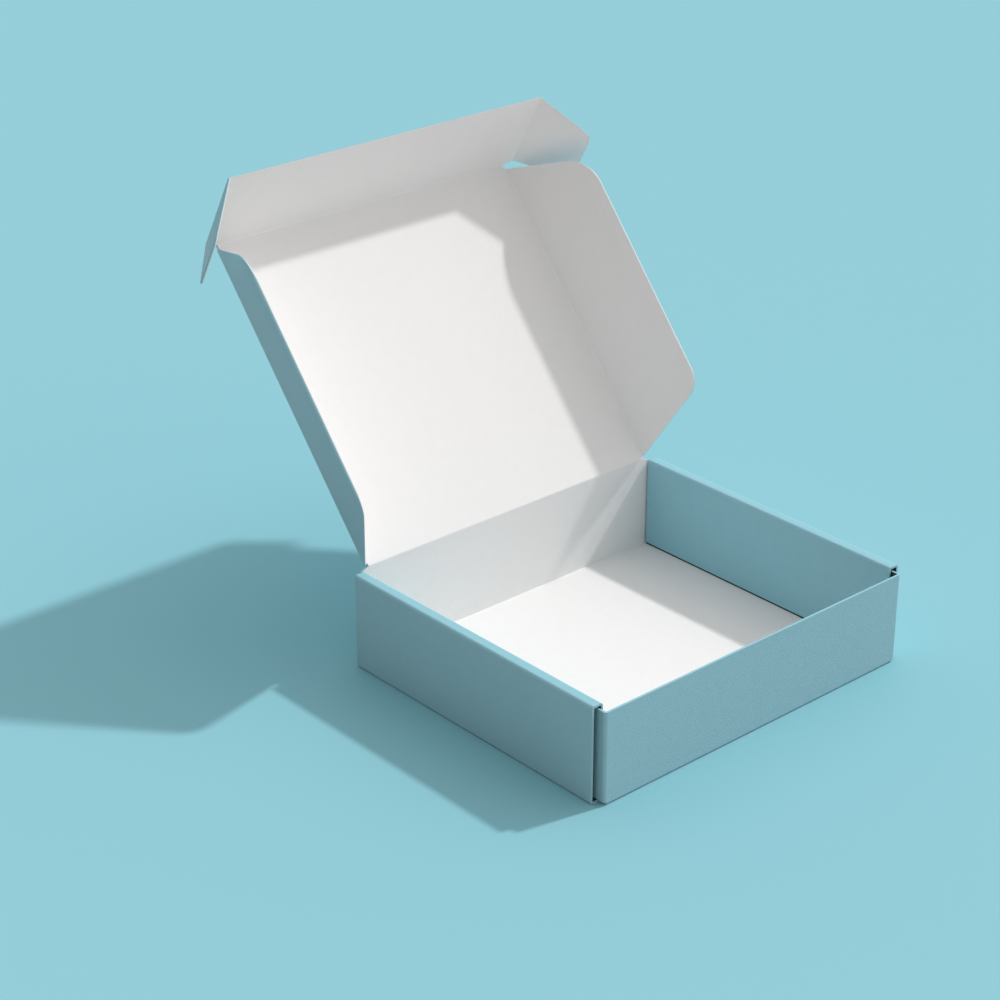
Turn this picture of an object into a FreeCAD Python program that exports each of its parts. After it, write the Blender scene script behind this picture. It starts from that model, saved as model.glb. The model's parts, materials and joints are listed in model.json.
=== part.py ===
import FreeCAD, Part
import os

import Sketcher
from FreeCAD import Placement, Rotation, Vector

# Mailer box folded from one sheet of fine-fluted card, standing open.
# The origin is at the middle of the tray's underside, the front wall faces -Y,
# the lid is hinged on the back wall at +Y, and +Z is up. Lengths are in millimetres.

SIZES = {
    # the sheet
    "board": 1.5,  # thickness of the card
    "bend_inside": 0.4,  # inner radius of a folded bend
    "crease_gap": 0.1,  # slit left along a fold that still moves
    "ridge_flat": 0.02,  # half the blunt edge left along the lid's scored ridge
    # the tray
    "box_width": 259.0,  # over the two rolled side walls
    "box_depth": 219.0,  # over the front and back walls
    "side_height": 63.8,  # underside to the top of the rolled sides
    "front_drop": 3.0,  # the front wall is this much lower than the sides
    "hinge_rise": 1.6,  # the lid's fold is this much higher than the sides
    "tab_slot": 3.0,  # open slot between outer side wall and corner flap
    "layer_gap": 0.7,  # between corner flap and inner side wall
    "side_setback": 6.2,  # rolled sides start this far behind the front face
    "back_gap": 1.2,  # rolled sides end this far before the back wall
    "under_gap": 0.6,  # inner side wall and corner flaps stop above the floor
    "back_flap_drop": 1.0,  # back corner flaps stop under the rolled strip
    "corner_flap_length": 55.0,  # corner flaps run this far into the hollow sides
    "back_bevel_drop": 2.0,  # fall of the back wall's top beyond the lid's fold
    # the lid and its flaps
    "tuck_standoff": 2.5,  # closed, the tuck flap hangs this far before the front wall
    "wing_clearance": 1.2,  # between a squared wing and the inner side wall
    "wing_width": 61.0,
    "wing_back_start": 1.2,  # the wing begins this far from the lid's fold
    "wing_back_slant": 24.4,  # its hinge end leans forward by this over its width
    "wing_back_round": 16.0,
    "wing_front_relief": 2.8,  # the wing ends this far before the tuck's fold
    "wing_front_slant": 25.1,
    "wing_front_round": 27.0,
    "lid_corner_cut": 1.1,  # the lid's fold ends this far short of the wings' folds
    "tuck_depth": 59.7,
    "tuck_root_cut": 2.0,  # the tab's fold starts this far up the tuck flap
    "tab_clearance": 0.3,  # between a squared tab and the outer side wall
    "tab_reach": 42.0,
    "tab_root_slant": 5.5,
    "tab_free_slant": 14.2,
    "tab_round": 7.0,
    "tab_tip_round": 3.0,
    # how far each fold stands from flat, in degrees
    "lid_open": 130.0,  # from closed
    "wing_fold": 69.0,
    "tuck_fold": 69.0,
    "tab_fold": 50.0,
}


class Size:
    """A length with its present value and the sheet expression that gives it."""

    def __init__(self, value, text):
        self.value = value
        self.text = text

    def join(self, sign, other, value):
        return Size(value, "(" + self.text + sign + as_size(other).text + ")")

    def __add__(self, other):
        return self.join(" + ", other, self.value + as_size(other).value)

    def __sub__(self, other):
        return self.join(" - ", other, self.value - as_size(other).value)

    def __mul__(self, other):
        return self.join(" * ", other, self.value * as_size(other).value)

    def __truediv__(self, other):
        return self.join(" / ", other, self.value / as_size(other).value)

    def __neg__(self):
        return Size(-self.value, "(0 - " + self.text + ")")


def as_size(value):
    return value if isinstance(value, Size) else Size(float(value), str(value))


doc = FreeCAD.newDocument("mailer_box")
sheet = doc.addObject("Spreadsheet::Sheet", "sizes")
for row, (name, number) in enumerate(SIZES.items(), start=1):
    sheet.set("A%d" % row, name)
    sheet.set("B%d" % row, str(number))
    sheet.setAlias("B%d" % row, name)
doc.recompute()


def size(name):
    """The named cell of the sheet, as a Size."""
    return Size(float(sheet.get(name)), "sizes." + name)


# Named sizes and the places that follow from them.
board = size("board")
crease_half = size("crease_gap") / 2
bend_inside = size("bend_inside")
bend_outside = board + bend_inside
half_width = size("box_width") / 2
half_depth = size("box_depth") / 2
side_height = size("side_height")
front_height = side_height - size("front_drop")
hinge_height = side_height + size("hinge_rise")
floor_top = board
flap_bottom = board + size("under_gap")
side_inside = half_width - board
flap_outside = side_inside - size("tab_slot")
flap_inside = flap_outside - board
inner_wall_outside = flap_inside - size("layer_gap")
inner_wall_inside = inner_wall_outside - board
strip_underside = side_height - board
back_flap_top = strip_underside - size("back_flap_drop")
front_inside = half_depth - board
side_front = half_depth - size("side_setback")
side_back = front_inside - size("back_gap")
hinge_back = half_depth - board / 2
wing_fold_half = inner_wall_inside - size("wing_clearance") - board
hinge_half = wing_fold_half - size("lid_corner_cut")
lid_depth = hinge_back + half_depth + size("tuck_standoff")
tab_fold_half = side_inside - size("tab_clearance") - board
tuck_depth = size("tuck_depth")
wing_width = size("wing_width")
tab_reach = size("tab_reach")


def new_body(label):
    body = doc.addObject("PartDesign::Body", label)
    body.Label = label
    return body


def sketch_on(body, name, plane, offset=None):
    """A sketch on one of the body's origin planes, moved along its normal by offset."""
    sketch = body.newObject("Sketcher::SketchObject", name)
    origin_plane = [f for f in body.Origin.OriginFeatures if f.Role == plane][0]
    sketch.AttachmentSupport = (origin_plane, [""])
    sketch.MapMode = "FlatFace"
    if offset is not None:
        sketch.AttachmentOffset = Placement(Vector(0, 0, offset.value), Rotation())
        sketch.setExpression("AttachmentOffset.Base.z", offset.text)
    return sketch


def tie(sketch, direction, line, place):
    """Hold a line's first point at a place measured from the sketch's origin."""
    other_axis = -2 if direction == "DistanceX" else -1
    if place.value == 0:
        sketch.addConstraint(Sketcher.Constraint("PointOnObject", line, 1, other_axis))
        return
    if place.value > 0:
        ends, span = (-1, 1, line, 1), place
    else:
        ends, span = (line, 1, -1, 1), -place
    index = sketch.addConstraint(Sketcher.Constraint(direction, *ends, span.value))
    sketch.setExpression("Constraints[%d]" % index, span.text)


def add_outline(sketch, points):
    """A closed outline of straight lines through the points, each tied to the sheet."""
    points = [(as_size(x), as_size(y)) for x, y in points]
    first = sketch.GeometryCount
    count = len(points)
    for i, (x, y) in enumerate(points):
        far_x, far_y = points[(i + 1) % count]
        start = Vector(x.value, y.value, 0)
        end = Vector(far_x.value, far_y.value, 0)
        sketch.addGeometry(Part.LineSegment(start, end), False)
    for i in range(count):
        link = (first + i, 2, first + (i + 1) % count, 1)
        sketch.addConstraint(Sketcher.Constraint("Coincident", *link))
    for i, (x, y) in enumerate(points):
        tie(sketch, "DistanceX", first + i, x)
        tie(sketch, "DistanceY", first + i, y)


def pad(body, name, sketch, length, backwards=False):
    feature = body.newObject("PartDesign::Pad", name)
    feature.Profile = sketch
    feature.Reversed = backwards
    feature.Length = length.value
    feature.setExpression("Length", length.text)
    doc.recompute()
    return feature


def edges_at(shape, axis, spots):
    """Names of the straight edges along an axis (0, 1, 2) whose two other
    coordinates are one of the spots."""
    found = []
    rest = [i for i in range(3) if i != axis]
    for number, edge in enumerate(shape.Edges, start=1):
        if len(edge.Vertexes) != 2:
            continue
        a, b = (v.Point for v in edge.Vertexes)
        if any(abs(a[i] - b[i]) > 1e-6 for i in rest):
            continue
        for spot in spots:
            if all(abs(a[i] - s) < 1e-4 for i, s in zip(rest, spot)):
                found.append("Edge%d" % number)
    return found


def fillet(body, name, base, axis, spots, radius):
    """Round the edges at the spots, each given by its two other coordinates."""
    spots = [tuple(as_size(c).value for c in spot) for spot in spots]
    feature = body.newObject("PartDesign::Fillet", name)
    feature.Base = (base, edges_at(base.Shape, axis, spots))
    feature.Radius = radius.value
    feature.setExpression("Radius", radius.text)
    doc.recompute()
    return feature


def both_sides(points):
    """The same spots at +X and at -X."""
    return [(x, y) for x, y in points] + [(-x, y) for x, y in points]


def make_tray():
    """Floor, front and back walls, rolled double side walls and corner flaps."""
    body = new_body("tray")

    # Floor and both rolled sides are one strip of card. Each side goes up outside,
    # over the flat top strip and down inside, and stops just above the floor.
    profile = sketch_on(body, "rolled_profile", "XZ_Plane", side_front)
    right = [
        (half_width, 0),
        (half_width, side_height),
        (inner_wall_inside, side_height),
        (inner_wall_inside, flap_bottom),
        (inner_wall_outside, flap_bottom),
        (inner_wall_outside, strip_underside),
        (side_inside, strip_underside),
        (side_inside, floor_top),
    ]
    left = [(-x, z) for x, z in reversed(right)]
    add_outline(profile, right + left)
    rolled = pad(body, "rolled_sides", profile, side_front + side_back, backwards=True)
    outer = [(half_width, 0), (half_width, side_height), (inner_wall_inside, side_height)]
    inner = [
        (inner_wall_outside, strip_underside),
        (side_inside, strip_underside),
        (side_inside, floor_top),
    ]
    rolled = fillet(body, "rolled_bends_outside", rolled, 1, both_sides(outer), bend_outside)
    rolled = fillet(body, "rolled_bends_inside", rolled, 1, both_sides(inner), bend_inside)

    # Front wall, floor and back wall are the other strip. The back wall's top edge is
    # a ridge, where the score for the lid runs.
    panel_half = flap_outside - bend_outside
    profile = sketch_on(body, "walls_profile", "YZ_Plane", -panel_half)
    ridge = hinge_height - crease_half
    shoulder = ridge - board / 2
    add_outline(
        profile,
        [
            (-half_depth, 0),
            (half_depth, 0),
            (half_depth, shoulder),
            (hinge_back, ridge),
            (front_inside, shoulder),
            (front_inside, floor_top),
            (-front_inside, floor_top),
            (-front_inside, front_height),
            (-half_depth, front_height),
        ],
    )
    walls = pad(body, "front_and_back_walls", profile, panel_half * 2)
    outer = [(-half_depth, 0), (half_depth, 0)]
    inner = [(-front_inside, floor_top), (front_inside, floor_top)]
    walls = fillet(body, "wall_bends_outside", walls, 0, outer, bend_outside)
    walls = fillet(body, "wall_bends_inside", walls, 0, inner, bend_inside)

    # Beyond the ends of the lid's fold the back wall's top slopes down to the corners.
    bevel = sketch_on(body, "back_bevel_profile", "XZ_Plane", -side_back)
    above = hinge_height + board
    for side in (1, -1):
        add_outline(
            bevel,
            [
                (hinge_half * side, hinge_height),
                (half_width * side, hinge_height - size("back_bevel_drop")),
                (half_width * side, above),
                (hinge_half * side, above),
            ],
        )
    cut = body.newObject("PartDesign::Pocket", "back_bevels")
    cut.Profile = bevel
    bevel_reach = half_depth - side_back + board
    cut.Length = bevel_reach.value
    cut.setExpression("Length", bevel_reach.text)
    doc.recompute()
    if cut.Shape.Volume >= walls.Shape.Volume:
        raise RuntimeError("the back wall's bevels cut nothing")

    # Corner flaps turn back from the ends of the front and back walls and stand
    # inside the hollow sides, against the inner wall.
    for name, place, top in (
        ("front_corner_flaps", -1, front_height),
        ("back_corner_flaps", 1, back_flap_top),
    ):
        profile = sketch_on(body, name + "_profile", "XY_Plane", flap_bottom)
        flap_end = half_depth - size("corner_flap_length")
        for side in (1, -1):
            add_outline(
                profile,
                [
                    ((panel_half - bend_inside) * side, half_depth * place),
                    (flap_outside * side, half_depth * place),
                    (flap_outside * side, flap_end * place),
                    (flap_inside * side, flap_end * place),
                    (flap_inside * side, front_inside * place),
                    ((panel_half - bend_inside) * side, front_inside * place),
                ],
            )
        flaps = pad(body, name, profile, top - flap_bottom)
        outer = both_sides([(flap_outside, half_depth * place)])
        inner = both_sides([(flap_inside, front_inside * place)])
        flaps = fillet(body, name + "_bends_outside", flaps, 2, outer, bend_outside)
        flaps = fillet(body, name + "_bends_inside", flaps, 2, inner, bend_inside)
    return body


def make_plate(label, points, underside, rounds=()):
    """A flat panel of card: its outline padded by the board, corners rounded."""
    body = new_body(label)
    outline = sketch_on(body, label + "_outline", "XY_Plane", underside)
    add_outline(outline, points)
    feature = pad(body, label + "_board", outline, board)
    for number, (spot, radius) in enumerate(rounds, start=1):
        name = "%s_corner_%d" % (label, number)
        feature = fillet(body, name, feature, 2, [spot], radius)
    return body, feature


def make_lid_panel():
    """The lid, drawn flat from its fold at Y = 0, with the ridge of the score there."""
    corner = size("lid_corner_cut")
    right = [
        (hinge_half, crease_half),
        (wing_fold_half - crease_half, corner + crease_half),
        (wing_fold_half - crease_half, lid_depth - crease_half),
    ]
    left = [(-x, y) for x, y in reversed(right)]
    body, panel = make_plate("lid_panel", right + left, -(board / 2))
    ridge = body.newObject("PartDesign::Chamfer", "lid_panel_ridge")
    spots = [(crease_half.value, half.value) for half in (board / 2, -(board / 2))]
    ridge.Base = (panel, edges_at(panel.Shape, 0, spots))
    slope = board / 2 - size("ridge_flat")
    ridge.Size = slope.value
    ridge.setExpression("Size", slope.text)
    doc.recompute()
    return body


def make_wing(label, side):
    """A side flap of the lid, drawn flat outward from its fold at X = 0."""
    back = size("wing_back_start")
    back_far = back + size("wing_back_slant")
    front = lid_depth - size("wing_front_relief")
    front_far = front - size("wing_front_slant")
    near = crease_half * side
    far = wing_width * side
    points = [(near, back), (far, back_far), (far, front_far), (near, front)]
    rounds = [
        ((far, back_far), size("wing_back_round")),
        ((far, front_far), size("wing_front_round")),
    ]
    return make_plate(label, points, -board, rounds)[0]


def make_tuck_flap():
    """The lid's front flap, drawn flat outward from its fold at Y = 0."""
    edge = tab_fold_half - crease_half
    right = [
        (wing_fold_half - crease_half, crease_half),
        (edge, size("tuck_root_cut")),
        (edge, tuck_depth),
    ]
    left = [(-x, y) for x, y in reversed(right)]
    return make_plate("tuck_flap", right + left, -board)[0]


def make_tab(label, side):
    """An end tab of the tuck flap, drawn flat outward from its fold at X = 0."""
    root = size("tuck_root_cut")
    root_far = root + size("tab_root_slant")
    free_far = tuck_depth - size("tab_free_slant")
    near = crease_half * side
    far = tab_reach * side
    points = [(near, root), (far, root_far), (far, free_far), (near, tuck_depth)]
    rounds = [((far, free_far), size("tab_round")), ((far, root_far), size("tab_tip_round"))]
    return make_plate(label, points, -board, rounds)[0]


def turned(axis, degrees):
    return Placement(Vector(), Rotation(axis, degrees))


def moved(x, y, z):
    return Placement(Vector(x, y, z), Rotation())


ALONG_X = Vector(1, 0, 0)
ALONG_Y = Vector(0, 1, 0)
FLAT_OPEN = 180.0  # the angle from closed at which the lid lies level behind the box

tray = make_tray()
lid_panel = make_lid_panel()
wings = {side: make_wing("lid_wing_" + word, side) for word, side in (("left", -1), ("right", 1))}
tuck_flap = make_tuck_flap()
tabs = {side: make_tab("tuck_tab_" + word, side) for word, side in (("left", -1), ("right", 1))}

# Each flap stands where its fold has turned it, carried by the panel before it.
tilt = FLAT_OPEN - size("lid_open").value
lid_panel.Placement = moved(0, hinge_back.value, hinge_height.value) * turned(ALONG_X, tilt)
inner_face = lid_panel.Placement * moved(0, 0, board.value / 2)
for side, wing in wings.items():
    fold = turned(ALONG_Y, -side * size("wing_fold").value)
    wing.Placement = inner_face * moved(side * wing_fold_half.value, 0, 0) * fold
tuck_flap.Placement = (
    inner_face * moved(0, lid_depth.value, 0) * turned(ALONG_X, size("tuck_fold").value)
)
for side, tab in tabs.items():
    fold = turned(ALONG_Y, -side * size("tab_fold").value)
    tab.Placement = tuck_flap.Placement * moved(side * tab_fold_half.value, 0, 0) * fold
doc.recompute()

for item in doc.Objects:
    if "Invalid" in item.State or "Error" in item.State:
        raise RuntimeError("%s did not build: %s" % (item.Name, item.State))

os.makedirs("parts", exist_ok=True)
bodies = [tray, lid_panel, *wings.values(), tuck_flap, *tabs.values()]
for body in bodies:
    shape = body.Shape
    if shape.isNull() or not shape.isValid() or len(shape.Solids) != 1:
        raise RuntimeError("%s is not one sound solid" % body.Label)
    shape.exportStep("parts/%s.step" % body.Label)
    box = shape.BoundBox
    print(
        "%-15s volume %8.0f mm3, from (%.1f, %.1f, %.1f) to (%.1f, %.1f, %.1f)"
        % (body.Label, shape.Volume, box.XMin, box.YMin, box.ZMin, box.XMax, box.YMax, box.ZMax)
    )
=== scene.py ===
# %% [markdown]
# A mailer box is one sheet of thin corrugated card: printed on one side, white on the other, cut to
# a flat outline and folded. This notebook folds that sheet again, panel by panel, round a model
# whose sizes and folding axes are already fixed. The fixed model is the frame: it is loaded first
# and never moved.

# %% Load the frame
import json
import math

import bpy
import numpy as np
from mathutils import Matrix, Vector


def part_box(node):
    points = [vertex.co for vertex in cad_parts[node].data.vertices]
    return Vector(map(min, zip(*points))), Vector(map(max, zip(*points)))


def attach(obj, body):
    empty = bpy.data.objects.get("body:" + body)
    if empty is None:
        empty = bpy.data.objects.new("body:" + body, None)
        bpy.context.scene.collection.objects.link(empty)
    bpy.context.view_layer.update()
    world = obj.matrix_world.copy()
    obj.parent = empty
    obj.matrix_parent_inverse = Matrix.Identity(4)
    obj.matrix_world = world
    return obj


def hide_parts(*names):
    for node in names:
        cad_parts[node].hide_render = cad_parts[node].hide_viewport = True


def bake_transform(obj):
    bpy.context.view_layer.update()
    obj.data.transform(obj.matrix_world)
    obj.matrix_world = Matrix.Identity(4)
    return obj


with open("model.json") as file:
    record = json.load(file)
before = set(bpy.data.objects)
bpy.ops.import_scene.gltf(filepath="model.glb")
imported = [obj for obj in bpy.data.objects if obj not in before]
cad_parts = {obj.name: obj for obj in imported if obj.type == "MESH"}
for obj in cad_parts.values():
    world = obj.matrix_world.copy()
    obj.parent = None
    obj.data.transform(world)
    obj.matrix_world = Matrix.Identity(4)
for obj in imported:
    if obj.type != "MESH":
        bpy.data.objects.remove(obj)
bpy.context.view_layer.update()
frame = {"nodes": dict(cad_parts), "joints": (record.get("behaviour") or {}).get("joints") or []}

MM = 0.001
print("frame nodes:", sorted(frame["nodes"]))

# %% [markdown]
# The picture is judged from one place, so the camera is set up before anything is modelled. A
# camera can be placed by hand until it looks right, or worked out from edges whose real lengths are
# known. Here the box's own corners gave the answer: a long lens, looking down a little, with no
# roll.

# %% Camera at the photograph's viewing angle
CAMERA_AZIMUTH = -41.60  # degrees from looking along +Y, turning about the vertical
CAMERA_ELEVATION = 25.86
CAMERA_TARGET = Vector((-30.1, 85.4, 90.5)) * MM
CAMERA_DISTANCE = 1535 * MM
CAMERA_LENS = 88.8  # millimetres
CAMERA_SENSOR = 36  # millimetres wide


def camera_back(azimuth, elevation):
    """Unit vector from the target to the camera, for angles in degrees: sine and minus cosine of
    the turn, both times the cosine of the rise, and the sine of the rise."""
    turn = math.radians(azimuth)
    rise = math.radians(elevation)
    level = math.cos(rise)
    return Vector((math.sin(turn) * level, -math.cos(turn) * level, math.sin(rise)))


def add_camera():
    """The scene's camera, at target + back * distance, looking at the target."""
    data = bpy.data.cameras.new("photo_camera")
    data.sensor_width = CAMERA_SENSOR
    data.lens = CAMERA_LENS
    camera = bpy.data.objects.new("photo_camera", data)
    bpy.context.scene.collection.objects.link(camera)
    back = camera_back(CAMERA_AZIMUTH, CAMERA_ELEVATION)
    camera.location = CAMERA_TARGET + back * CAMERA_DISTANCE
    camera.rotation_mode = "QUATERNION"
    camera.rotation_quaternion = (-back).to_track_quat("-Z", "Y")
    bpy.context.scene.camera = camera
    return camera


camera = add_camera()
print("camera at", [round(c, 3) for c in camera.location])

# %% [markdown]
# Every size comes from the frame where it can. The tray's box gives its outside, and each joint
# gives a fold line and how far that fold stands from flat.

# %% Sizes and fold lines from the frame
joints = {joint["name"]: joint for joint in frame["joints"]}
fold_line = {name: np.array(joint["pos_m"]) for name, joint in joints.items()}
fold_angle = {name: -joint["range_deg"][0] for name, joint in joints.items()}
LID_HINGE = fold_line["lid_hinge"]
LID_LEAN = joints["lid_hinge"]["range_deg"][1] - 90  # degrees that the open lid leans back
WING_FOLD_X = abs(fold_line["wing_right_fold"][0])
TAB_FOLD_X = abs(fold_line["tab_right_fold"][0])

tray_low, tray_high = (np.array(corner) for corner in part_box("tray"))
HALF_WIDTH = tray_high[0]
HALF_DEPTH = tray_high[1]
print("outside of the tray: %.1f x %.1f x %.1f mm" % tuple((tray_high - tray_low) / MM))

# %% [markdown]
# What is left are the card itself, the bends that it makes, and the small clearances that let one
# layer of it slide past another.

# %% The card, its bends and the gaps between layers
BOARD = 1.5 * MM
BEND_RADIUS = 1.15 * MM  # of the board's middle line in the tray's fixed bends
FLAP_RADIUS = 1.0 * MM  # the same where a flap folds about its inner face
FADE = 0.4 * MM  # width of the flattened card beside a bend

SIDE_HEIGHT = 63.8 * MM
FRONT_DROP = 3.0 * MM  # the front wall is this much lower than the sides
FLAP_FLOOR_GAP = 0.6 * MM  # corner flaps stop this far above the floor
WALL_FLOOR_GAP = 1.0 * MM  # and the inner side walls this far
BACK_FLAP_DROP = 1.0 * MM  # the back corner flaps end this far under the side's top strip
TAB_SLOT = 3.0 * MM  # between outer side wall and corner flap, for the lid's tabs
LAYER_GAP = 0.7 * MM  # between corner flap and inner side wall
SIDE_SETBACK = 6.2 * MM  # the rolled sides start this far behind the front wall's face
BACK_GAP = 1.2 * MM  # and end this far before the back wall
CORNER_FLAP_LENGTH = 55.0 * MM
HINGE_END_CUT = 1.1 * MM  # the lid's fold ends this far short of the wings' folds
print("the card is %.1f mm thick" % (BOARD / MM))

# %% [markdown]
# From these follows where each layer stands. All places are measured from the middle of the box's
# underside, and the left half mirrors the right one.

# %% Where the layers stand
FRONT_HEIGHT = SIDE_HEIGHT - FRONT_DROP
FLAP_BOTTOM = BOARD + FLAP_FLOOR_GAP
INNER_WALL_BOTTOM = BOARD + WALL_FLOOR_GAP
BACK_FLAP_TOP = SIDE_HEIGHT - BOARD - BACK_FLAP_DROP
FLAP_OUTSIDE = HALF_WIDTH - BOARD - TAB_SLOT
WALL_HALF = FLAP_OUTSIDE - BOARD / 2 - BEND_RADIUS  # front and back walls are flat out to here
INNER_WALL_MIDDLE = FLAP_OUTSIDE - BOARD - LAYER_GAP - BOARD / 2
INNER_FACE = INNER_WALL_MIDDLE - BOARD / 2
SIDE_FRONT = HALF_DEPTH - SIDE_SETBACK
SIDE_BACK = HALF_DEPTH - BOARD - BACK_GAP
CORNER_FLAP_END = HALF_DEPTH - CORNER_FLAP_LENGTH
HINGE_HALF = WING_FOLD_X - HINGE_END_CUT
print("inside, the box is %.1f mm wide" % (2 * INNER_FACE / MM))

# %% [markdown]
# A folded sheet has two faces that run side by side and a cut edge all round. It could be a flat
# grid with a Solidify modifier, but then both faces and the edge share one material and the bends
# pinch. Instead each stretch of card is a patch: one grid of points for the printed face, one for
# the face behind it, and where each point lay on the flat sheet.

# %% Patches of card
# Finishes of a face. The fourth is painted shade: a dark colour for the card's back inside the
# hollow walls, where only shade falls.
PRINTED, WHITE, CUT, PAINTED_SHADE = range(4)
X, Y, Z = np.eye(3)


def make_patch(outer, inner, flat, pressed, back):
    """One stretch of card. Its points are arrays of rows by columns, and back is the finish of
    the face that isn't printed."""
    return {"outer": outer, "inner": inner, "flat": flat, "pressed": pressed, "back": back}


def flat_patch(points, outwards, flat, back=WHITE):
    """A level stretch of card. Its faces are the points of its middle plane plus and minus half
    the board's thickness along outwards."""
    points = np.array(points, float)
    offset = np.array(outwards, float) * BOARD / 2
    pressed = np.zeros(points.shape[:2])
    return make_patch(points + offset, points - offset, np.array(flat, float), pressed, back)


def patch_quads(patch, first):
    """Corner numbers of the patch's faces, turned so that the printed face looks outwards. The
    area vectors of all the faces are summed and compared with the way from the face behind to
    the printed one."""
    rows, columns = patch["pressed"].shape
    number = first + np.arange(rows * columns).reshape(rows, columns)
    quads = np.stack([number[:-1, :-1], number[1:, :-1], number[1:, 1:], number[:-1, 1:]], -1)
    quads = quads.reshape(-1, 4)
    outer = patch["outer"]
    area = np.cross(outer[1:, 1:] - outer[:-1, :-1], outer[:-1, 1:] - outer[1:, :-1])
    outwards = (outer - patch["inner"])[:-1, :-1]
    return quads if (area * outwards).sum() > 0 else quads[:, ::-1]


print("finishes of a face: printed %d, white %d, cut %d, hollow %d" % (PRINTED, WHITE, CUT, PAINTED_SHADE))

# %% [markdown]
# Patches that share a line are welded there. A side of a face that has no neighbour after that is
# where the knife went through, so it gets a face of its own: the cut edge. The result is a closed
# sheet whose printed faces, backs and cut edges each take their own finish.

# %% Welds and cut edges
WELD = 1e-6  # metres; points closer than this are one point


def gathered(patches, key, width):
    """A value of all the patches' points, as one array with a row for each point."""
    return np.concatenate([patch[key].reshape(-1, width) for patch in patches])


def rim_quads(quads, count):
    """The cut edge: one face from each open side of the printed faces to the same side of the
    faces behind, whose points are numbered count higher. A side is open if no face has it the
    other way round."""
    sides = np.stack([quads, np.roll(quads, -1, axis=1)], -1).reshape(-1, 2)
    forward = sides[:, 0] * count + sides[:, 1]
    backward = sides[:, 1] * count + sides[:, 0]
    a, b = sides[~np.isin(forward, backward)].T
    return np.stack([b, a, a + count, b + count], -1)


print("points closer than %g mm are joined" % (WELD / MM))

# %% [markdown]
# Blender gets the sheet as one mesh. Besides its points and faces it carries two values that the
# finishes read later. One is where each point lay on the flat sheet, as a UV map. The other is how
# strongly a crease has pressed it, as an attribute, which the finishes turn into a painted
# highlight along the crease.

# %% The sheet as a mesh
SHARP_ANGLE = math.radians(35)  # faces that meet at more than this are shaded apart


def mesh_object(name, points, faces, finishes, flat, pressed):
    """A smooth-shaded mesh with its finishes, its flat_sheet map and its pressed attribute."""
    mesh = bpy.data.meshes.new(name)
    mesh.from_pydata(points, [], faces)
    mesh.polygons.foreach_set("material_index", finishes)
    mesh.polygons.foreach_set("use_smooth", np.ones(len(faces), bool))
    flat_layer = mesh.uv_layers.new(name="flat_sheet")
    flat_layer.data.foreach_set("uv", flat[faces.ravel()].ravel())
    pressed_layer = mesh.attributes.new("pressed", "FLOAT", "POINT")
    pressed_layer.data.foreach_set("value", pressed)
    mesh.set_sharp_from_angle(angle=SHARP_ANGLE)
    mesh.validate()
    piece = bpy.data.objects.new(name, mesh)
    bpy.context.scene.collection.objects.link(piece)
    return piece


def sheet_object(name, patches):
    """A closed mesh of the patches. Points are one where both their faces agree to WELD, and a
    welded point is as pressed as the most pressed of its doubles."""
    outer = gathered(patches, "outer", 3)
    inner = gathered(patches, "inner", 3)
    flat = gathered(patches, "flat", 2)
    starts = np.cumsum([0] + [patch["pressed"].size for patch in patches])
    quads = [patch_quads(patch, start) for patch, start in zip(patches, starts)]
    backs = [np.full(len(part), patch["back"]) for part, patch in zip(quads, patches)]

    places = np.round(np.hstack([outer, inner]) / WELD).astype(np.int64)
    _, keep, renumber = np.unique(places, axis=0, return_index=True, return_inverse=True)
    renumber = renumber.ravel()
    quads = renumber[np.concatenate(quads)]
    count = len(keep)
    pressed = np.zeros(count)
    np.maximum.at(pressed, renumber, gathered(patches, "pressed", 1).ravel())

    rim = rim_quads(quads, count)
    faces = np.concatenate([quads, quads[:, ::-1] + count, rim])
    finishes = np.concatenate([np.full(len(quads), PRINTED), *backs, np.full(len(rim), CUT)])
    points = np.concatenate([outer[keep], inner[keep]])
    both_flat = np.tile(flat[keep], (2, 1))
    piece = mesh_object(name, points, faces, finishes, both_flat, np.tile(pressed, 2))
    print("%-16s %5d faces, %4d of them cut edge" % (name, len(faces), len(rim)))
    return piece


# %% [markdown]
# A fold in real card is never a line: the board turns on a small radius, and the liner beside it is
# pressed flat by the creasing rule. Seen from its end, a folded wall is a path of straight runs and
# arcs, so one function walks that path. The printed face always lies on the right-hand side of the
# walk.

# %% The path of a folded board
BEND_STEPS = 8
TRAY_CREASE_HIGHLIGHT = 0.3  # how strongly the tray's creases show their painted highlight, from 0 to 1


def arc_run(here, heading, turn, radius):
    """Points and headings round a bend. The circle's centre lies a radius to the left of the
    heading, or to the right where the turn is negative."""
    left = math.copysign(radius, turn)
    centre = here + left * np.array([-math.sin(heading), math.cos(heading)])
    angles = heading + turn * np.arange(1, BEND_STEPS + 1) / BEND_STEPS
    return centre + left * np.stack([np.sin(angles), -np.cos(angles)], -1), angles


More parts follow.
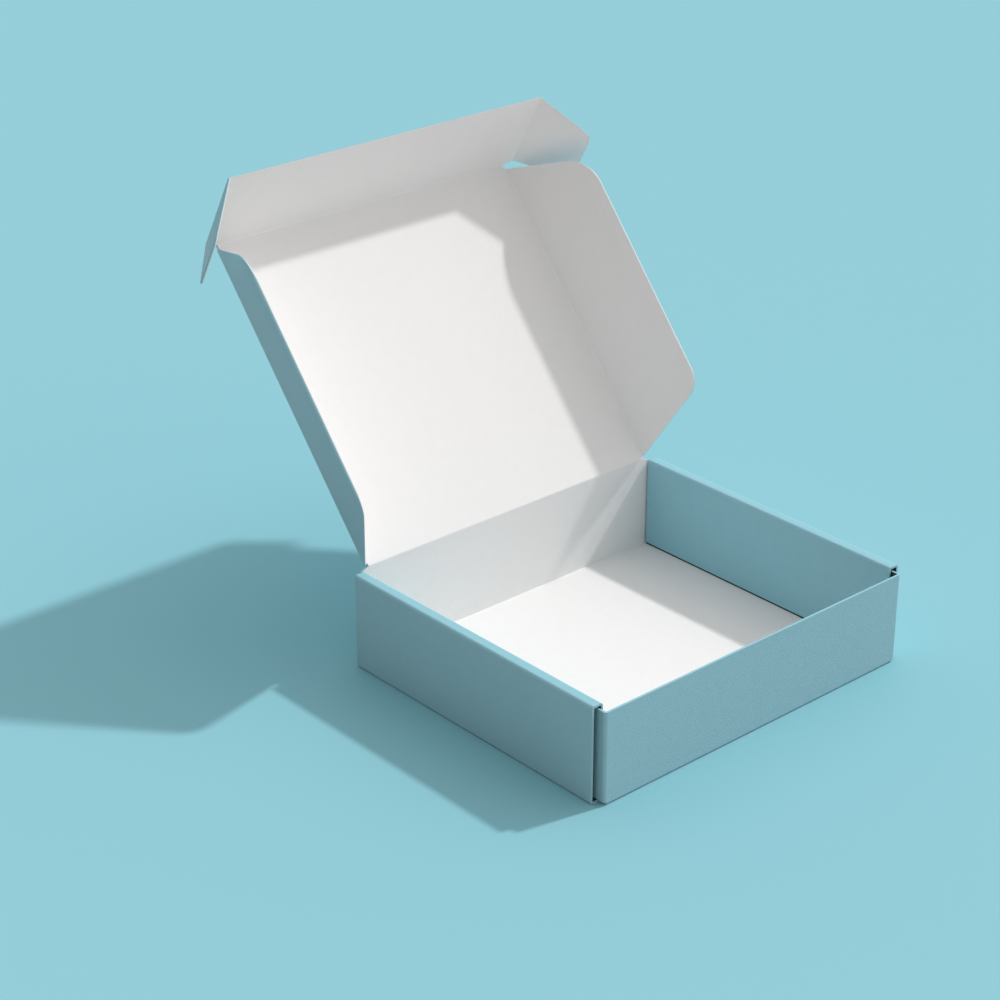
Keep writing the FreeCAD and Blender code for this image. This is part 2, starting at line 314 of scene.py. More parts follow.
def folded_profile(start, straights, turns, radius, extra=(), crease_highlight=TRAY_CREASE_HIGHLIGHT):
    """The board's middle line, walked from a start point along heading 0. After each straight run
    but the last, the heading turns by some degrees on a circle of the radius, to the left if
    positive. Rows are added FADE before and after each bend, and in the last run at the extra
    distances from its beginning. Rows at a bend are pressed."""
    here = np.array(start, float)
    heading = 0.0
    done = 0.0
    parts = [(here[None], [heading], [done], [float(straights[0] == 0)])]
    for number, straight in enumerate(straights):
        last = number == len(turns)
        if straight > 0:
            steps = [FADE] * (number > 0) + [straight - FADE] * (not last) + [straight]
            steps = np.array(sorted(steps + list(extra) * last))
            ahead = np.array([math.cos(heading), math.sin(heading)])
            creased = (steps == straight) * float(not last)
            run = here + steps[:, None] * ahead
            parts.append((run, np.full(len(steps), heading), done + steps, creased))
            here = here + straight * ahead
            done += straight
        if not last:
            turn = math.radians(turns[number])
            arc, angles = arc_run(here, heading, turn, radius)
            walked = done + radius * abs(angles - heading)
            parts.append((arc, angles, walked, np.ones(BEND_STEPS)))
            here = arc[-1]
            heading = angles[-1]
            done += radius * abs(turn)
    middle, headings, walked, pressed = (np.concatenate(part) for part in zip(*parts))
    outwards = np.stack([np.sin(headings), -np.cos(headings)], -1)
    return {"middle": middle, "outwards": outwards, "walked": walked, "pressed": crease_highlight * pressed}


print("steps in each bend:", BEND_STEPS)

# %% [markdown]
# A path becomes a patch when it is carried along the line of its fold. Its printed face lies half a
# board to the right of the path and the face behind half a board to the left. How far the path has
# been walked gives the place on the flat sheet.

# %% A path carried along its fold
def swept_patch(profile, across, axes, flat_axes, back=WHITE, share=1.0):
    """A profile carried along its fold. A point is origin + a * ahead + b * left + w * along,
    with a and b from the profile and w from across, one value per column or per row and column.
    On the flat sheet it is at origin + walked * ahead + w * along. Share is how much of the
    board's thickness is left at each point."""
    origin, ahead, left, along = (np.array(v, float) for v in axes)
    flat_origin, flat_ahead, flat_along = (np.array(v, float) for v in flat_axes)
    rows = len(profile["walked"])
    across = np.broadcast_to(across, (rows, np.shape(across)[-1]))[..., None]
    half = BOARD / 2 * np.broadcast_to(share, across.shape[:2])[..., None]

    def face(side):
        plane = profile["middle"][:, None] + side * half * profile["outwards"][:, None]
        return origin + plane[..., :1] * ahead + plane[..., 1:] * left + across * along

    flat = flat_origin + profile["walked"][:, None, None] * flat_ahead + across * flat_along
    pressed = np.repeat(profile["pressed"][:, None], across.shape[1], axis=1)
    return make_patch(face(1), face(-1), flat, pressed, back)


print("each face lies %.2f mm from the path" % (BOARD / 2 / MM))

# %% [markdown]
# The tray's sides are what gives a roll-end box its strength. Each side wall goes up on the
# outside, over a narrow top strip and down again on the inside, so its printed face is seen from
# inside the box too. The floor between them is flat. Inside the hollow sides the card's back is
# painted dark. This is painted shade for the deep shade in there, because hardly any light gets in,
# and it is not a colour of the card.

# %% Floor and rolled side walls
END_COLUMNS = np.array([HINGE_HALF, INNER_FACE, WALL_HALF - FADE, WALL_HALF])
WALL_COLUMNS = np.concatenate([-END_COLUMNS[::-1], END_COLUMNS])
FLOOR_LEFT = WALL_COLUMNS[:3]  # under the hollow left side, up to its inner wall's face
FLOOR_MIDDLE = WALL_COLUMNS[2:-2]
FLOOR_RIGHT = WALL_COLUMNS[-3:]
SIDE_ROWS = np.array([-SIDE_FRONT, SIDE_BACK])


def floor_patch(columns, back):
    """The floor between the outermost of the columns: level, half a board above the ground."""
    x, y = np.meshgrid(columns, SIDE_ROWS, indexing="ij")
    points = np.stack([x, y, np.full_like(x, BOARD / 2)], -1)
    return flat_patch(points, -Z, np.stack([x, y], -1), back)


def rolled_side(side):
    """The side wall at +X (side 1) or -X (side -1), as one path of three bends."""
    outer_middle = HALF_WIDTH - BOARD / 2
    straights = [
        outer_middle - BEND_RADIUS - WALL_HALF,
        SIDE_HEIGHT - BOARD - 2 * BEND_RADIUS,
        outer_middle - INNER_WALL_MIDDLE - 2 * BEND_RADIUS,
        SIDE_HEIGHT - BOARD / 2 - BEND_RADIUS - INNER_WALL_BOTTOM,
    ]
    profile = folded_profile((WALL_HALF, BOARD / 2), straights, [90, 90, 90], BEND_RADIUS)
    axes = ((0, 0, 0), side * X, Z, Y)
    flat_axes = ((side * WALL_HALF, 0), (side, 0), (0, 1))
    # the back of the rolled side, inside its hollow, is painted shade
    return swept_patch(profile, SIDE_ROWS, axes, flat_axes, PAINTED_SHADE)


floor_patches = [
    floor_patch(FLOOR_MIDDLE, WHITE),
    # the floor under the hollow sides is painted shade on its upper face
    floor_patch(FLOOR_LEFT, PAINTED_SHADE),
    floor_patch(FLOOR_RIGHT, PAINTED_SHADE),
]
side_patches = [rolled_side(1), rolled_side(-1)]
roll_length = np.ptp(side_patches[0]["flat"][..., 0])
print("each side takes %.0f mm of the flat sheet" % (roll_length / MM))

# %% [markdown]
# The front and back walls are single. At each end they turn the corner into a flap that runs back
# inside the hollow side wall and keeps the corner shut. The front wall is a little lower than the
# sides. The back wall ends just below the lid's fold, where the lid's own sheet takes over, and its
# top slopes away beyond the ends of that fold.

# %% Front wall, back wall and corner flaps
BEVEL_FALL = 0.4  # slope of the back wall's top beyond the hinge
HINGE_LEG = 3.0 * MM  # the lid's sheet is taken from this far below its fold


def wall_patches(facing, floor_end, top, flap_top, extra):
    """A wall that looks towards -Y (facing -1) or +Y (1), with its two corner flaps. Floor and
    wall are one path of one bend, and each flap is a bend and a straight run."""
    level = HALF_DEPTH - BOARD / 2 - BEND_RADIUS - floor_end
    rise_start = BOARD / 2 + BEND_RADIUS
    extra = [height - rise_start for height in (FLAP_BOTTOM, *extra)]
    straights = [level, top - rise_start]
    profile = folded_profile((floor_end, BOARD / 2), straights, [90], BEND_RADIUS, extra)
    axes = ((0, 0, 0), facing * Y, Z, X)
    flat_axes = ((0, facing * floor_end), (0, facing), (1, 0))
    wall = swept_patch(profile, WALL_COLUMNS, axes, flat_axes)
    heights = profile["middle"][:, 1]
    flap_heights = heights[(heights > FLAP_BOTTOM - WELD) & (heights < flap_top + WELD)]
    rise_on_sheet = profile["walked"][-1] - top

    def corner_flap(side):
        corner = (side * WALL_HALF, facing * (HALF_DEPTH - BOARD / 2), 0)
        length = HALF_DEPTH - BOARD / 2 - BEND_RADIUS - CORNER_FLAP_END
        bend = folded_profile((0, 0), [0, length], [90], BEND_RADIUS)
        axes = (corner, side * X, -facing * Y, Z)
        flat_corner = (side * WALL_HALF, facing * (floor_end + rise_on_sheet))
        flat_axes = (flat_corner, (side, 0), (0, facing))
        # the flap's back, inside the hollow side, is painted shade
        return swept_patch(bend, flap_heights, axes, flat_axes, PAINTED_SHADE)

    return [wall, corner_flap(1), corner_flap(-1)], rise_on_sheet


def shoulder_patch(side, top, rise_on_sheet):
    """The corner of the back wall beyond the lid's fold. Its top is the fold's height less
    BEVEL_FALL times the distance from the fold's end."""
    x = END_COLUMNS
    z = np.stack([np.full_like(x, top), LID_HINGE[2] - (x - HINGE_HALF) * BEVEL_FALL])
    x = side * np.stack([x, x])
    points = np.stack([x, np.full_like(x, HALF_DEPTH - BOARD / 2), z], -1)
    return flat_patch(points, Y, np.stack([x, z + SIDE_BACK + rise_on_sheet], -1))


back_top = LID_HINGE[2] - HINGE_LEG
front_patches, _ = wall_patches(-1, SIDE_FRONT, FRONT_HEIGHT, FRONT_HEIGHT, ())
back_patches, back_rise = wall_patches(1, SIDE_BACK, back_top, BACK_FLAP_TOP, (BACK_FLAP_TOP,))
shoulders = [shoulder_patch(side, back_top, back_rise) for side in (1, -1)]
wall_parts = front_patches + back_patches + shoulders
tray = sheet_object("tray_sheet", floor_patches + side_patches + wall_parts)
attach(tray, "tray")
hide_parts("tray")

# %% [markdown]
# Every flap hangs on a fold, and the card must stay whole when that fold moves. A hinge that
# folds inwards turns about the white face, as scored card does, and the printed side stretches
# round it.

# %% The path across a moving fold
FLAP_LEG = 1.0 * MM  # a wing, a tab or the tuck flap starts this far before its fold


def flap_profile(fold, leg, rows, depth, radius, crease_highlight):
    """The path across a fold whose axis is at the start of the plane, depth above the board's
    middle line. The middle lines of panel and flap meet depth * tan(fold / 2) ahead, and the
    bend begins and ends radius * tan(fold / 2) from there. Reach is how far a row lies beyond
    the axis, measured along the flap."""
    turn = math.radians(fold)
    meet = depth * math.tan(turn / 2)
    tangent = radius * abs(math.tan(turn / 2))
    ahead = np.array([math.cos(turn), math.sin(turn)])
    begin = tangent + np.array([meet, -depth]) @ ahead
    rows = np.array(rows)
    straights = [leg + meet - tangent, rows[-1] - begin]
    profile = folded_profile((-leg, -depth), straights, [fold], radius, rows[:-1] - begin, crease_highlight)
    on_flap = profile["walked"] > straights[0] + radius * abs(turn) - WELD
    on_leg = np.minimum(profile["middle"][:, 0], 0)
    profile["reach"] = np.where(on_flap, profile["middle"] @ ahead, on_leg)
    return profile


def blend_fold(piece):
    """Bake the piece's placement into its mesh. Nothing here bends it between two bodies."""
    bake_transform(piece)


print("flaps start %.1f mm before their folds" % (FLAP_LEG / MM))

# %% [markdown]
# The lid is hinged along the top of the back wall and leans back. Its fold turns about the middle
# of the board, because it bends both ways: forwards to close, backwards to lie open. The sheet here
# reaches from just below the fold to just before the front flap's fold. The wings' sheets take over
# at its sides, and beyond their front ends it has two small shoulders.

# %% Lid panel
WING_BACK = 1.2 * MM  # the wings begin this far from the lid's fold
WING_FRONT_RELIEF = 2.8 * MM  # and end this far before the tuck flap's
CREASE_SLIT = 0.05 * MM  # a panel's bare edges end this far before the fold's line
# strength of the painted highlight along the lid's crease
LID_CREASE_HIGHLIGHT = 0.1

lean = math.radians(LID_LEAN)
lid_ahead = math.sin(lean) * Y + math.cos(lean) * Z
lid_inside = np.cross(X, lid_ahead)
LID_DEPTH = (fold_line["tuck_fold"] - LID_HINGE) @ lid_ahead
WING_FRONT = LID_DEPTH - WING_FRONT_RELIEF


def lid_shoulder(side, rows):
    """The corner of the lid beyond a wing's front end, over two rows: level card from the main
    sheet out to the lid's side edge."""
    columns = side * np.array([WING_FOLD_X - FLAP_LEG, WING_FOLD_X - CREASE_SLIT])
    x, y = np.meshgrid(columns, rows)
    points = LID_HINGE + x[..., None] * X + y[..., None] * lid_ahead
    return flat_patch(points, -lid_inside, np.stack([x, y + HINGE_LEG], -1))


def lid_sheet():
    """The lid's sheet: as wide as its fold at the bend, and up to the wings' sheets above it."""
    rows = [WING_BACK, WING_FRONT, LID_DEPTH - FLAP_LEG]
    profile = flap_profile(-LID_LEAN, HINGE_LEG, rows, 0, BEND_RADIUS, LID_CREASE_HIGHLIGHT)
    half = np.where(profile["reach"] > FADE, WING_FOLD_X - FLAP_LEG, HINGE_HALF)
    across = np.stack([-half, half], -1)
    axes = (LID_HINGE, Z, -Y, X)
    patches = [swept_patch(profile, across, axes, ((0, 0), (0, 1), (1, 0)))]
    patches += [lid_shoulder(side, rows[1:]) for side in (1, -1)]
    return sheet_object("lid_sheet", patches)


lid = lid_sheet()
blend_fold(lid)
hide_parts("lid_panel")
print("lid panel %.1f x %.1f mm" % (2 * WING_FOLD_X / MM, LID_DEPTH / MM))

# %% [markdown]
# Wings and tabs are cut with slanted ends and rounded corners, so that they slip past the tray's
# corners when the lid comes down. An outline could be drawn as a curve and filled, but then its
# faces would not follow the fold. Here a flap is rows that run along its fold, and each row's ends
# move in with its distance from the fold.

# %% Slanted ends with round corners
CORNER_STEPS = 10
ROW_DIGITS = 7  # rows are rounded to a tenth of a micrometre, so that doubles fall together


def slanted_end(reach, width, lean, radius):
    """How far a flap's end has moved in, at a distance from the fold. It is a line that leans by
    lean over the flap's width, and then a circle that touches that line and the far edge: circle
    centre - square root of (radius squared - rise squared)."""
    slope = math.hypot(width, lean)
    centre_reach = width - radius
    centre = (radius * slope + centre_reach * lean) / width
    rounded = centre - np.sqrt(np.maximum(radius**2 - (reach - centre_reach) ** 2, 0))
    line = lean * np.maximum(reach, 0) / width
    return np.where(reach > centre_reach + radius * lean / slope, rounded, line)


def round_rows(width, lean, radius):
    """Distances from the fold at even turns round the corner that slanted_end rounds: width -
    radius + radius * sine of the turn."""
    turns = np.linspace(math.atan2(lean, width), math.pi / 2, CORNER_STEPS + 1)
    return width - radius + radius * np.sin(turns)


def flap_rows(width, *corners):
    """All rows that a flap needs for its rounded corners, out to its full width."""
    rows = np.concatenate([round_rows(width, *corner) for corner in corners])
    return np.unique(np.round(rows, ROW_DIGITS))


print("rows round each corner:", CORNER_STEPS)

# %% [markdown]
# Along its cuts a flap is thinner than elsewhere, because the die squeezes the flutes flat before
# it parts them. A Bevel modifier would only round the edge, so the last millimetre is a column of
# faces of its own, in which the card's thickness falls.

# %% Card pressed thin along its cuts
CRUSH_WIDTH = 1.0 * MM
CRUSH_SHARE = 0.4  # of the board's thickness, left at the cut


def crushed_ends(low, high):
    """Columns for a flap between its two ends, and how much of the thickness is left at each
    point: CRUSH_SHARE at the ends and in the last row, all of it elsewhere."""
    across = np.stack([low, low + CRUSH_WIDTH, high - CRUSH_WIDTH, high], -1)
    share = np.ones(across.shape)
    share[:, [0, -1]] = CRUSH_SHARE
    share[-1] = CRUSH_SHARE
    return across, share


print("cuts are pressed to %.1f mm" % (BOARD * CRUSH_SHARE / MM))

# %% [markdown]
# The wings are the lid's side flaps. Both ends are slanted, with a large round corner. Left and
# right are the same outline mirrored.

# %% Lid wings
WING_WIDTH = 61.0 * MM
WING_BACK_END = (24.4 * MM, 16.0 * MM)  # lean over the width, corner radius
WING_FRONT_END = (25.1 * MM, 27.0 * MM)
# strength of the painted highlight along the wings' creases
WING_CREASE_HIGHLIGHT = 0.4


def wing_sheet(name, body, side):
    """A wing at +X (side 1) or -X (side -1), from the lid's side fold outwards."""
    fold = fold_angle[body + "_fold"]
    rows = flap_rows(WING_WIDTH, WING_BACK_END, WING_FRONT_END)
    profile = flap_profile(fold, FLAP_LEG, rows, BOARD / 2, FLAP_RADIUS, WING_CREASE_HIGHLIGHT)
    back = WING_BACK + slanted_end(profile["reach"], WING_WIDTH, *WING_BACK_END)
    front = WING_FRONT - slanted_end(profile["reach"], WING_WIDTH, *WING_FRONT_END)
    across, share = crushed_ends(back, front)
    corner = LID_HINGE + lid_inside * BOARD / 2 + side * WING_FOLD_X * X
    axes = (corner, side * X, lid_inside, lid_ahead)
    flat_axes = ((side * (WING_FOLD_X - FLAP_LEG), 0), (side, 0), (0, 1))
    piece = sheet_object(name, [swept_patch(profile, across, axes, flat_axes, share=share)])
    blend_fold(piece)
    return piece


wings = [
    wing_sheet("wing_left_sheet", "wing_left", -1),
    wing_sheet("wing_right_sheet", "wing_right", 1),
]
for wing, word in zip(wings, ("left", "right")):
    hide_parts("lid_wing_" + word)
print("wings are %.0f mm wide" % (WING_WIDTH / MM))

# %% [markdown]
# The tuck flap is the lid's front flap. It widens from the lid's width at its fold to nearly the
# full width of the box, so that the tabs at its ends can slide into the slots in the tray's front
# corners.

# %% Tuck flap
TUCK_DEPTH = 59.7 * MM
TUCK_ROOT_CUT = 2.0 * MM  # the flap has its full width this far from its fold
# strength of the painted highlight along the tuck flap's crease
TUCK_CREASE_HIGHLIGHT = 0.6
TUCK_FOLD = fold_angle["tuck_fold"]
tuck_turn = math.radians(TUCK_FOLD)
tuck_ahead = math.cos(tuck_turn) * lid_ahead + math.sin(tuck_turn) * lid_inside
tuck_inside = np.cross(X, tuck_ahead)
tuck_axis = LID_HINGE + lid_inside * BOARD / 2 + LID_DEPTH * lid_ahead


def tuck_sheet():
    """The tuck flap between its tabs' folds, pressed thin along its free edge. Its half width is
    a straight line from the lid's to its own over the root cut, and level beyond."""
    rows = [TUCK_ROOT_CUT, TUCK_DEPTH - CRUSH_WIDTH, TUCK_DEPTH]
    profile = flap_profile(TUCK_FOLD, FLAP_LEG, rows, BOARD / 2, FLAP_RADIUS, TUCK_CREASE_HIGHLIGHT)
    narrow = WING_FOLD_X - CREASE_SLIT
    wide = TAB_FOLD_X - FLAP_LEG
    half = np.interp(profile["reach"], [0, TUCK_ROOT_CUT], [narrow, wide])
    across = np.stack([-half, half], -1)
    share = np.ones(across.shape)
    share[-1] = CRUSH_SHARE
    axes = (tuck_axis, lid_ahead, lid_inside, X)
    flat_axes = ((0, 0), (0, 1), (1, 0))
    patch = swept_patch(profile, across, axes, flat_axes, share=share)
    piece = sheet_object("tuck_sheet", [patch])
    blend_fold(piece)
    return piece


tuck = tuck_sheet()
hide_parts("tuck_flap")
print("tuck flap is %.1f mm deep" % (TUCK_DEPTH / MM))

# %% [markdown]
# The tabs end the tuck flap. They are cut like the wings but much smaller, and their free corner is
# the rounder one. Their folds are a little more than half way to square.

# %% Tuck tabs
TAB_REACH = 42.0 * MM
TAB_ROOT_END = (5.5 * MM, 3.0 * MM)
TAB_FREE_END = (14.2 * MM, 7.0 * MM)
# strength of the painted highlight along the tabs' creases
TAB_CREASE_HIGHLIGHT = 0.4


def tab_sheet(name, body, side):
    """A tab at +X (side 1) or -X (side -1), from the tuck flap's end fold outwards."""
    fold = fold_angle[body + "_fold"]
    rows = flap_rows(TAB_REACH, TAB_ROOT_END, TAB_FREE_END)
    profile = flap_profile(fold, FLAP_LEG, rows, BOARD / 2, FLAP_RADIUS, TAB_CREASE_HIGHLIGHT)
    root = TUCK_ROOT_CUT + slanted_end(profile["reach"], TAB_REACH, *TAB_ROOT_END)
    free = TUCK_DEPTH - slanted_end(profile["reach"], TAB_REACH, *TAB_FREE_END)
    across, share = crushed_ends(root, free)
    corner = tuck_axis + side * TAB_FOLD_X * X
    axes = (corner, side * X, tuck_inside, tuck_ahead)
    flat_axes = ((side * (TAB_FOLD_X - FLAP_LEG), 0), (side, 0), (0, 1))
    piece = sheet_object(name, [swept_patch(profile, across, axes, flat_axes, share=share)])
    blend_fold(piece)
    return piece


tabs = [
    tab_sheet("tab_left_sheet", "tab_left", -1),
    tab_sheet("tab_right_sheet", "tab_right", 1),
]
for tab, word in zip(tabs, ("left", "right")):
    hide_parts("tuck_tab_" + word)
print("tabs reach %.0f mm out" % (TAB_REACH / MM))

# %% [markdown]
# Now the finishes, which are all paper. Patterns are laid out on the flat sheet, through the
# flat_sheet map, so that they run round the folds as they do on real card. One helper adds a shader
# node, and one turns a written sRGB colour into the linear values that Blender works in.

# %% Helpers for materials
def linear(code):
    """Linear red, green, blue and alpha for an sRGB colour written as six hex digits. A value is
    divided by 12.92 near black, and elsewhere is ((value + 0.055) / 1.055) to the power 2.4."""
    values = np.array([int(code[i : i + 2], 16) for i in (0, 2, 4)]) / 255
    curve = np.where(values <= 0.04045, values / 12.92, ((values + 0.055) / 1.055) ** 2.4)
    return (*curve, 1.0)


def add_node(tree, kind, links=(), **settings):
    """A node with its settings, its inputs by name or number, and its incoming links."""
    node = tree.nodes.new("ShaderNode" + kind)
    inputs = settings.pop("inputs", {})
    for name, value in settings.items():
        setattr(node, name, value)
    for name, value in inputs.items():
        node.inputs[name].default_value = value
    for name, socket in dict(links).items():
        tree.links.new(socket, node.inputs[name])
    return node


def new_material(name):
    """A material whose node tree is empty."""
    material = bpy.data.materials.new(name)
    material.use_nodes = True
    material.node_tree.nodes.clear()
    return material, material.node_tree


def per_metre(feature_mm):
    """Noise scale that gives features of this size on a map in metres: one over the size."""
    return 1 / (feature_mm * MM)


print("a millimetre pattern has a scale of", round(per_metre(1.0)))

# %% [markdown]
# Every face of the card is a paper liner, so one recipe serves them all. Its surface is not flat:
# the fibres under the coating leave a soft pebble, which is what the eye reads as paper. The pebble
# is bump, drawn out along one direction as fibres are. Real grain is finer than the sizes used
# here, which are as coarse as they have to be to show at the photograph's size. The ink lies a
# touch thicker in some places than in others. A crease is painted a little lighter, as a painted
# highlight for the light that the pressed fold catches.

# %% Recipe of a paper liner
CLOUD_MM = 7  # size of the places where the ink lies thicker
CLOUD_THIN = 0.3  # noise values where the ink is thinnest and thickest
CLOUD_THICK = 0.7
GRAIN_DIRECTION = math.radians(45)  # on the flat sheet
GRAIN_STRETCH = 1.6
NOISE_DETAIL = 3.0
GRAIN_FINENESS = 0.6  # the noise's own roughness: how much its finer layers count
LINER_SPECULAR = 0.12  # a low gloss, as matt paper has


def liner_material(name, colour, crease_highlight_colour, pebble_mm, relief_mm, mottle, roughness):
    """A paper liner: its colour, turned towards crease_highlight_colour where pressed, which paints
    a highlight along the creases, times 1 plus or minus mottle from place to place, with a pebbled
    relief."""
    material, tree = new_material(name)
    sheet = add_node(tree, "UVMap", uv_map="flat_sheet").outputs["UV"]
    pressed = add_node(tree, "Attribute", attribute_name="pressed").outputs["Fac"]
    inputs = {"Scale": per_metre(CLOUD_MM), "Detail": NOISE_DETAIL}
    cloud = add_node(tree, "TexNoise", {"Vector": sheet}, inputs=inputs).outputs["Fac"]
    inputs = {"From Min": CLOUD_THIN, "From Max": CLOUD_THICK}
    inputs |= {"To Min": 1 - mottle, "To Max": 1 + mottle}
    shade = add_node(tree, "MapRange", {"Value": cloud}, inputs=inputs).outputs["Result"]
    # of a Mix node's many sockets, 6 and 7 are its two colours and output 2 is the mixed one
    # the second colour is the painted highlight along a crease
    inputs = {6: linear(colour), 7: linear(crease_highlight_colour)}
    mix = add_node(tree, "Mix", {"Factor": pressed}, data_type="RGBA", inputs=inputs)
    links = {0: mix.outputs[2], 1: shade}
    tinted = add_node(tree, "VectorMath", links, operation="MULTIPLY").outputs[0]

    inputs = {"Rotation": (0, 0, GRAIN_DIRECTION), "Scale": (GRAIN_STRETCH, 1.0, 1.0)}
    drawn_out = add_node(tree, "Mapping", {"Vector": sheet}, vector_type="TEXTURE", inputs=inputs)
    inputs = {"Scale": per_metre(pebble_mm), "Detail": NOISE_DETAIL, "Roughness": GRAIN_FINENESS}
    links = {"Vector": drawn_out.outputs["Vector"]}
    pebble = add_node(tree, "TexNoise", links, inputs=inputs).outputs["Fac"]
    inputs = {"Strength": 1.0, "Distance": relief_mm * MM}
    relief = add_node(tree, "Bump", {"Height": pebble}, inputs=inputs).outputs["Normal"]

    inputs = {"Roughness": roughness, "Specular IOR Level": LINER_SPECULAR}
    links = {"Base Color": tinted, "Normal": relief}
    paper = add_node(tree, "BsdfPrincipled", links, inputs=inputs).outputs["BSDF"]
    add_node(tree, "OutputMaterial", {"Surface": paper})
    return material


print("grain is drawn out to %.1f times its width" % GRAIN_STRETCH)

# %% [markdown]
# The outside is a liner with an even flood coat of matt ink, with no gloss to speak of. The inside
# is a smoother white-coated liner, whose grain shows only in raking light. The cut edge is rougher,
# because there the knife has torn the fibres. The inside of the hollow walls is the same paper in
# deep shade, painted dark because so little light comes back out of there in the photograph.

# %% Printed liner, white liner, cut edge and the hollow's painted shade
PRINT_COLOUR = "94c8d5"
WHITE_COLOUR = "f3f1f0"
# dark colour of the painted shade inside the hollow walls
PAINTED_SHADE_COLOUR = "31464b"
CUT_COLOUR = "98c8d4"

printed_liner = liner_material(
    "matt_printed_liner",
    PRINT_COLOUR,
    # the crease colour is a painted highlight, lighter than the print
    "a2d2df",
    pebble_mm=0.8,
    relief_mm=0.25,
    mottle=0.012,
    roughness=0.55,
)
white_liner = liner_material(
    "white_coated_liner",
    WHITE_COLOUR,
    # the crease colour is a painted highlight, pure white
    "ffffff",
    pebble_mm=0.8,
    relief_mm=0.13,
    mottle=0.006,
    roughness=0.6,
)
# painted shade: the card's back inside the hollow walls is painted dark, because little light gets
# there
hollow_painted_shade = liner_material(
    "shaded_hollow",
    PAINTED_SHADE_COLOUR,
    PAINTED_SHADE_COLOUR,
    pebble_mm=1.3,
    relief_mm=0.08,
    mottle=0.006,
    roughness=0.8,
)
cut_edge = liner_material(
    "die_cut_edge",
    CUT_COLOUR,
    CUT_COLOUR,
    pebble_mm=0.5,
    relief_mm=0.03,
    mottle=0.02,
    roughness=0.8,
)
print("printed colour in linear light:", [round(c, 3) for c in linear(PRINT_COLOUR)])

# %% [markdown]
# Each sheet takes the finishes in the order in which its faces were numbered. The tray's cut edges
# stay thick, as the photograph shows them, but no cut in card is razor-sharp: a bevel of a tenth of
# a millimetre catches the light. Where two bevelled edges meet at a notch the bevel leaves doubled
# points, which are joined again. The flaps' edges are already pressed thin.

# %% Finish the sheets
EDGE_BEVEL = 0.12 * MM
BEVEL_SEGMENTS = 2
BEVEL_ANGLE = math.radians(50)  # edges that turn more than this are bevelled

sheets = [tray, lid, *wings, tuck, *tabs]
for piece in sheets:
    for material in (printed_liner, white_liner, cut_edge, hollow_painted_shade):
        piece.data.materials.append(material)

edge = tray.modifiers.new("worn_edge", "BEVEL")
edge.width = EDGE_BEVEL
edge.segments = BEVEL_SEGMENTS
edge.limit_method = "ANGLE"
edge.angle_limit = BEVEL_ANGLE
edge.harden_normals = True
join = tray.modifiers.new("join_points", "WELD")
join.merge_threshold = WELD
print("finished", len(sheets), "sheets")

# %% [markdown]
# The studio is one wide floor in a pale colour. A painted floor throws its own colour back at
# whatever stands on it, but the photograph's white card has no such cast. So the camera sees the
# paint, and the card is lit by a near neutral floor of about the same lightness.

# %% Floor
FLOOR_COLOUR = "90c7d2"
FLOOR_BOUNCE = "c7cacb"  # what the card sees of the floor
FLOOR_HALF = 9.0


def add_floor():
    """A square of floor through the origin, FLOOR_HALF metres to each side."""
    corners = [(-FLOOR_HALF, -FLOOR_HALF, 0), (FLOOR_HALF, -FLOOR_HALF, 0)]
    corners += [(FLOOR_HALF, FLOOR_HALF, 0), (-FLOOR_HALF, FLOOR_HALF, 0)]
    mesh = bpy.data.meshes.new("floor")
    mesh.from_pydata(corners, [], [(0, 1, 2, 3)])
    floor = bpy.data.objects.new("floor", mesh)
    bpy.context.scene.collection.objects.link(floor)
    material, tree = new_material("painted_floor")
    seen = add_node(tree, "LightPath").outputs["Is Camera Ray"]
    paint = add_node(tree, "BsdfDiffuse", inputs={"Color": linear(FLOOR_COLOUR)})
    bounce = add_node(tree, "BsdfDiffuse", inputs={"Color": linear(FLOOR_BOUNCE)})
    links = {0: seen, 1: bounce.outputs[0], 2: paint.outputs[0]}
    add_node(tree, "OutputMaterial", {"Surface": add_node(tree, "MixShader", links).outputs[0]})
    mesh.materials.append(material)


add_floor()
print("floor %.0f m wide" % (2 * FLOOR_HALF))

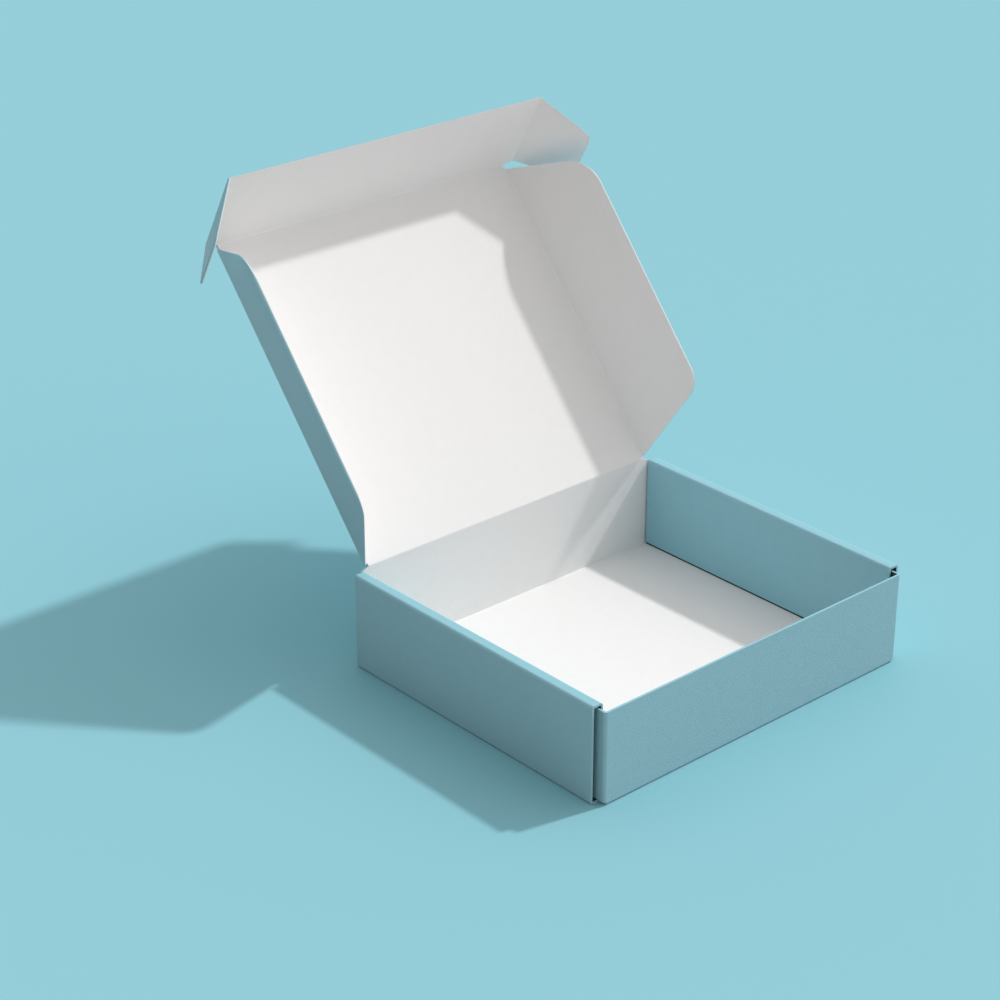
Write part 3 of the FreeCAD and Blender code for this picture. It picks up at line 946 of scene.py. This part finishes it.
# %% [markdown]
# The light is a sun and a sky. The sun stands at middle height with a broad disc, for a long shadow
# with a soft edge. The sky is a plain gradient: full on the right, where a window or a softbox
# would be, and dim on the left, which models the box's sides. Together they light level ground at
# about full strength, so that colours come out as they are written.

# %% Sun and sky
SKY_LEVEL = 0.604  # sky strength sideways on, before the gradient
SKY_TILT = (0.441, 0.080, 0.116)  # added towards +X, +Y and +Z
BACKDROP_COLOUR = "94ccd9"  # what the camera sees beyond the floor
SUN_STRENGTH = 1.72
SUN_DISC = 3.0  # degrees across
SUN_TRAVEL = Vector((-0.6625, 0.1526, -0.7334))


def add_sun():
    """A sun lamp that shines along SUN_TRAVEL."""
    sun = bpy.data.lights.new("sun", "SUN")
    sun.energy = SUN_STRENGTH
    sun.angle = math.radians(SUN_DISC)
    lamp = bpy.data.objects.new("sun", sun)
    lamp.rotation_mode = "QUATERNION"
    lamp.rotation_quaternion = SUN_TRAVEL.to_track_quat("-Z", "Y")
    bpy.context.scene.collection.objects.link(lamp)


def add_sky():
    """A white sky whose strength is SKY_LEVEL plus the direction's dot product with SKY_TILT."""
    world = bpy.data.worlds.new("studio")
    world.use_nodes = True
    tree = world.node_tree
    tree.nodes.clear()
    where = add_node(tree, "TexCoord").outputs["Generated"]
    inputs = {1: SKY_TILT}
    slope = add_node(tree, "VectorMath", {0: where}, operation="DOT_PRODUCT", inputs=inputs)
    links = {0: slope.outputs["Value"]}
    level = add_node(tree, "Math", links, operation="ADD", inputs={1: SKY_LEVEL}).outputs[0]
    sky = add_node(tree, "Background", {"Strength": level}, inputs={"Color": (1, 1, 1, 1)})
    seen = add_node(tree, "LightPath").outputs["Is Camera Ray"]
    inputs = {"Color": linear(BACKDROP_COLOUR), "Strength": 1.0}
    backdrop = add_node(tree, "Background", inputs=inputs)
    links = {0: seen, 1: sky.outputs[0], 2: backdrop.outputs[0]}
    mix = add_node(tree, "MixShader", links)
    add_node(tree, "OutputWorld", {"Surface": mix.outputs[0]})
    bpy.context.scene.world = world


add_sun()
add_sky()
bpy.context.scene.view_settings.view_transform = "Standard"
print("sun comes in at %.0f degrees above the floor" % math.degrees(math.asin(-SUN_TRAVEL.z)))
